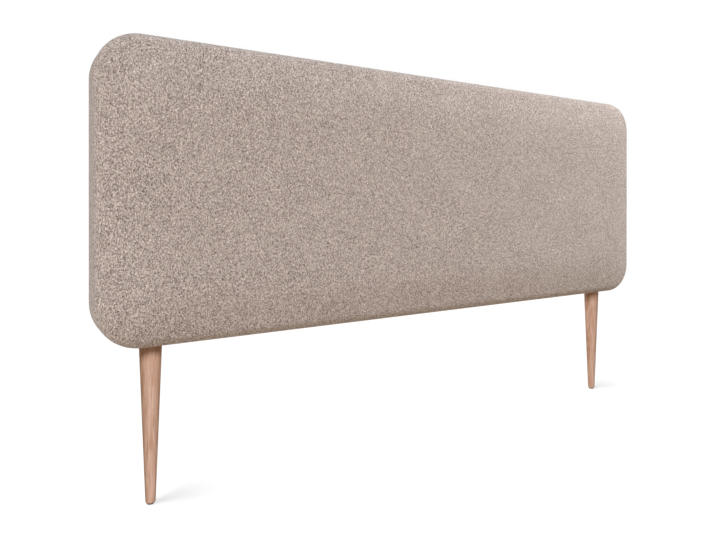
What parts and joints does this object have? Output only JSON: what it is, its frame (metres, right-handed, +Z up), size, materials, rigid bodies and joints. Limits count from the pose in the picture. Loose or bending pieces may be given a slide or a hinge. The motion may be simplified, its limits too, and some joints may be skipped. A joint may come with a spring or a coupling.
{
  "type": "headboard",
  "caption": "Upholstered bed headboard: a wide padded panel with round corners in melange fabric, on slim tapered round wooden legs.",
  "frame": {"origin": "on the floor, below the middle of the panel's width and thickness", "axes": "+X along the width, to the right as seen from the front; the padded front faces -Y; +Z up"},
  "size_m": [1.6, 0.1034, 0.92],
  "materials": {
    "cover_fabric": "matte melange weave, beige and brown yarns",
    "leg_wood": "satin clear lacquer on pale pinkish hardwood, upright grain",
    "frame_timber": "planed softwood, bare",
    "tenon_wood": "bare beech slips",
    "board": "bare thin fibreboard",
    "foam": "matte open-cell foam",
    "wadding_fibre": "matte white polyester fibre",
    "back_cloth": "matte non-woven cloth, near black",
    "staple_steel": "zinc-coated wire",
    "bolt_steel": "zinc plated",
    "glide_plastic": "dark brown moulded plastic"
  },
  "bodies": {
    "root": {"back_cloth": "back_cloth", "back_cloth_staples": "staple_steel", "board_staples": "staple_steel", "bottom_left_corner_block": "frame_timber", "bottom_rail": "frame_timber", "bottom_right_corner_block": "frame_timber", "cover_staples": "staple_steel", "fabric_cover": "cover_fabric", "foam_pad": "foam", "foot_glides": "glide_plastic", "frame_tenons": "tenon_wood", "front_board": "board", "hanger_bolts": "bolt_steel", "left_inner_stile": "frame_timber", "left_leg": "leg_wood", "left_stile": "frame_timber", "middle_stile": "frame_timber", "right_inner_stile": "frame_timber", "right_leg": "leg_wood", "right_stile": "frame_timber", "threaded_inserts": "bolt_steel", "top_left_corner_block": "frame_timber", "top_rail": "frame_timber", "top_right_corner_block": "frame_timber", "wadding": "wadding_fibre"}
  },
  "joints": []
}
